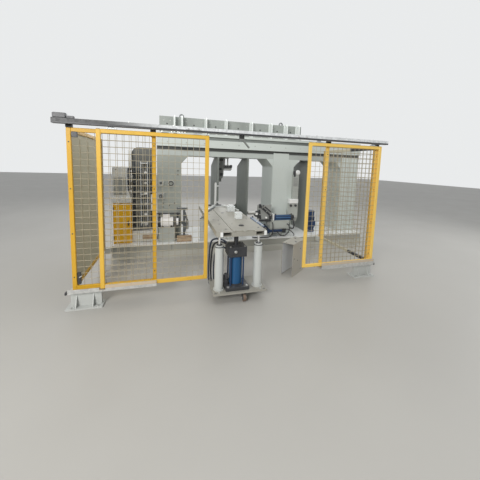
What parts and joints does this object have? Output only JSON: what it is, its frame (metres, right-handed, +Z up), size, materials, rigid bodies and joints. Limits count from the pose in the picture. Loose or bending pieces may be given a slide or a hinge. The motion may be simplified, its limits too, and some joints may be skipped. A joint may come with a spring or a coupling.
{
  "type": "rolling mill stand",
  "caption": "Welded portal mill stand on a low bed with a ribbed girder, a hydraulic lift table in front and sliding mesh doors on an overhead track.",
  "frame": {"origin": "on the floor, under the middle of the guarded doorway and on the bed's centre line", "axes": "+X along the door track to the right, +Y from the operator's side to the back, +Z up"},
  "size_m": [5.19, 2.92, 2.5799],
  "materials": {
    "frame_paint": "pale grey-green machine enamel, semi-matt",
    "web_paint": "grey-green machine enamel in shade, semi-matt",
    "plate_paint": "off-white enamel, scuffed",
    "girder_paint": "pale grey-green enamel, semi-matt",
    "guard_yellow": "golden yellow powder coat on frames, bright wire mesh",
    "galvanised": "galvanised sheet, mottled",
    "sheet_steel": "brushed stainless sheet",
    "black_steel": "black paint, satin",
    "hydraulic_blue": "blue enamel, glossy",
    "navy_blue": "dark blue enamel, glossy",
    "cabinet_yellow": "ochre yellow enamel",
    "dark_iron": "dark grey castings with oil film",
    "motor_paint": "white enamel",
    "table_paint": "light grey enamel, worn",
    "rod_chrome": "hard chrome",
    "plinth_wood": "raw timber blocks",
    "wheel_tread": "brown rubber tread"
  },
  "bodies": {
    "root": {"bed": "frame_paint", "bed_top_plate": "plate_paint", "left_column": "frame_paint", "middle_column": "frame_paint", "right_column": "frame_paint", "top_beam": "frame_paint", "girder_box": "girder_paint", "girder_ribs": "girder_paint", "lifting_eyes": "dark_iron", "web_plates": "web_paint", "column_bosses": "motor_paint", "control_cabinet": "cabinet_yellow", "drive_column": "dark_iron", "drive_hood": "galvanised", "valve_stack": "dark_iron", "drive_motor": "motor_paint", "motor_plinth": "plinth_wood", "clamp_link": "dark_iron", "guide_head": "web_paint", "cross_cylinder": "navy_blue", "pull_cylinder": "hydraulic_blue", "hydraulic_blocks": "plate_paint", "gripper": "black_steel", "side_motor": "navy_blue", "left_fixed_panel": "guard_yellow", "right_fixed_panel": "guard_yellow", "left_side_panel": "guard_yellow", "right_side_panel": "guard_yellow", "door_track": "galvanised", "track_brackets": "black_steel", "sills": "galvanised", "guard_feet": "web_paint", "guide_sleeves": "table_paint", "base_plate": "table_paint", "lift_barrel": "hydraulic_blue", "floor_cover": "sheet_steel"},
    "left_door_leaf": {"left_door": "guard_yellow", "left_hangers": "galvanised"},
    "right_door_leaf": {"right_door": "guard_yellow", "right_hangers": "galvanised"},
    "lift_table": {"table_top": "table_paint", "guide_rods": "rod_chrome", "lift_rod": "black_steel"},
    "caster_swivel_fork": {"caster_fork": "black_steel"},
    "caster_roller": {"caster_wheel": "wheel_tread"}
  },
  "joints": [
    {"name": "left_door_slide", "type": "slide", "parent": "root", "child": "left_door_leaf", "axis": [1, 0, 0], "range_m": [-0.285, 0.04]},
    {"name": "right_door_slide", "type": "slide", "parent": "root", "child": "right_door_leaf", "axis": [1, 0, 0], "range_m": [-0.67, 0.06]},
    {"name": "table_lift", "type": "slide", "parent": "root", "child": "lift_table", "axis": [0, 0, 1], "range_m": [-0.11, 0.1]},
    {"name": "caster_swivel", "type": "hinge", "parent": "root", "child": "caster_swivel_fork", "pos_m": [-0.102, -2.229, 0.1], "axis": [0, 0, 1], "continuous": true},
    {"name": "caster_spin", "type": "hinge", "parent": "caster_swivel_fork", "child": "caster_roller", "pos_m": [-0.102, -2.251, 0.044], "axis": [1, 0, 0], "continuous": true}
  ]
}
